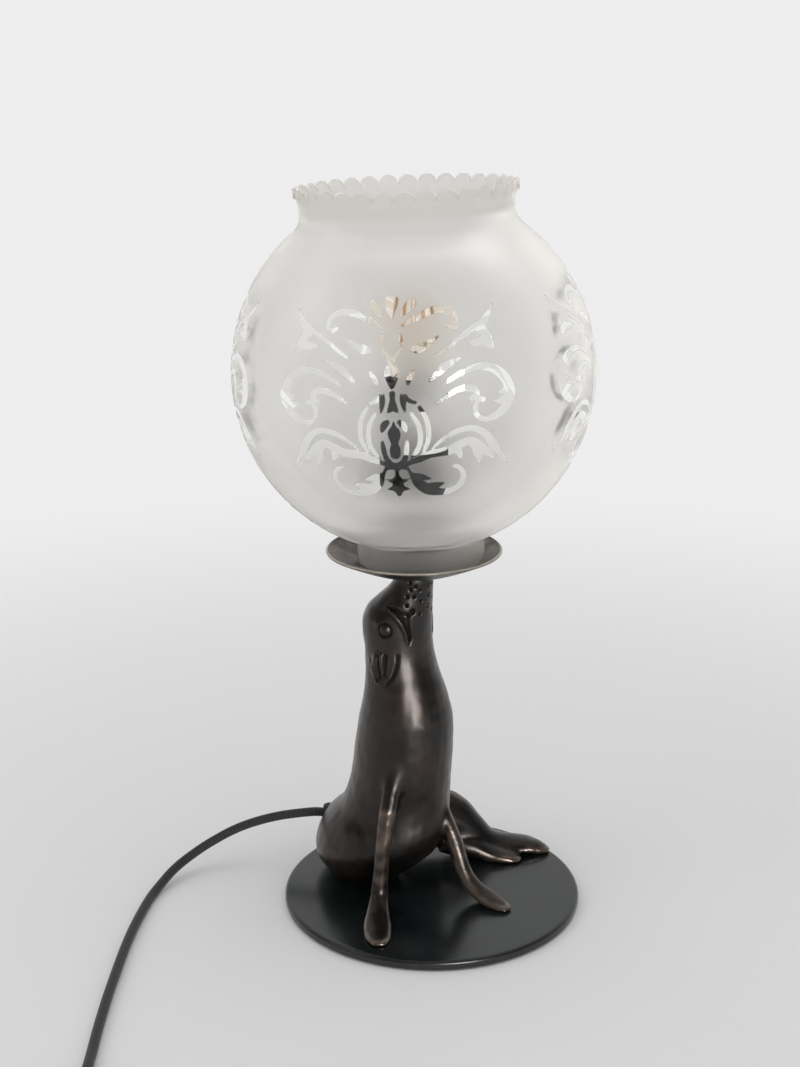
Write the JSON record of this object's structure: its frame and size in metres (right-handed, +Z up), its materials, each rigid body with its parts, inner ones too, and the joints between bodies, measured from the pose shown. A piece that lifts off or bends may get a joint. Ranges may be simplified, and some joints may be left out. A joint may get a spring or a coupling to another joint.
{
  "type": "table lamp",
  "caption": "Table lamp: a cast bronze sea lion on a round base carries a dish on its nose, with a lift-off frosted glass globe over a screw-in bulb and a corded switch.",
  "frame": {"origin": "on the table under the globe's axis", "axes": "+Z up; -Y towards the picture's viewer; +X to the viewer's right"},
  "size_m": [0.273, 0.4176, 0.4243],
  "materials": {
    "felt": "matte",
    "black_lacquer": "worn gloss",
    "bronze": "dark patina",
    "aged_metal": "aged satin",
    "raw_brass": "satin",
    "steel": "satin",
    "black_plastic": "satin",
    "white_ceramic": "gloss",
    "label_paper": "matte",
    "brown_core": "satin",
    "blue_core": "satin",
    "black_cord": "woven",
    "black_rubber": "matte",
    "clear_glass": "clear",
    "frosted_glass": "frosted",
    "nickel": "satin",
    "filament": "satin"
  },
  "bodies": {
    "lamp": {"base_felt": "felt", "base_plate": "black_lacquer", "base_screws": "steel", "seal_casting": "bronze", "nose_nipple": "raw_brass", "globe_dish": "aged_metal", "dish_washer": "steel", "dish_nut": "raw_brass", "riser_cover": "black_plastic", "holder_cap": "black_plastic", "holder_skirt": "black_plastic", "holder_block": "white_ceramic", "holder_shell": "raw_brass", "holder_ring": "black_plastic", "centre_contact": "raw_brass", "side_contact": "raw_brass", "terminal_screws": "steel", "lock_screw": "steel", "holder_label": "label_paper", "live_core": "brown_core", "neutral_core": "blue_core", "inner_cord": "black_cord", "cord_bush": "black_rubber", "cord_lead": "black_cord", "switch_lower": "black_plastic", "switch_upper": "black_plastic", "switch_contacts": "raw_brass", "switch_screws": "steel", "cord_run": "black_cord", "cord_coil": "black_cord", "coil_tie": "felt", "cord_tail": "black_cord", "plug_relief": "black_rubber", "plug_body": "black_plastic", "plug_pins": "nickel", "pin_sleeves": "black_plastic"},
    "bulb": {"bulb_glass": "clear_glass", "bulb_cap": "nickel", "bulb_insulator": "black_plastic", "bulb_contact": "nickel", "bulb_stem": "clear_glass", "bulb_filaments": "filament", "bulb_wires": "steel"},
    "globe": {"globe_glass": "frosted_glass"},
    "rocker": {"switch_rocker": "black_plastic"}
  },
  "joints": [
    {"name": "globe_lift", "type": "slide", "parent": "lamp", "child": "globe", "axis": [0, 0, 1], "range_m": [0, 0.2]},
    {"name": "bulb_out", "type": "slide", "parent": "lamp", "child": "bulb", "axis": [0, 0, 1], "range_m": [0, 0.16]},
    {"name": "rocker_tilt", "type": "hinge", "parent": "lamp", "child": "rocker", "pos_m": [-0.16, -0.248, 0.014], "axis": [1, 0, 0], "range_deg": [0, 20]}
  ]
}
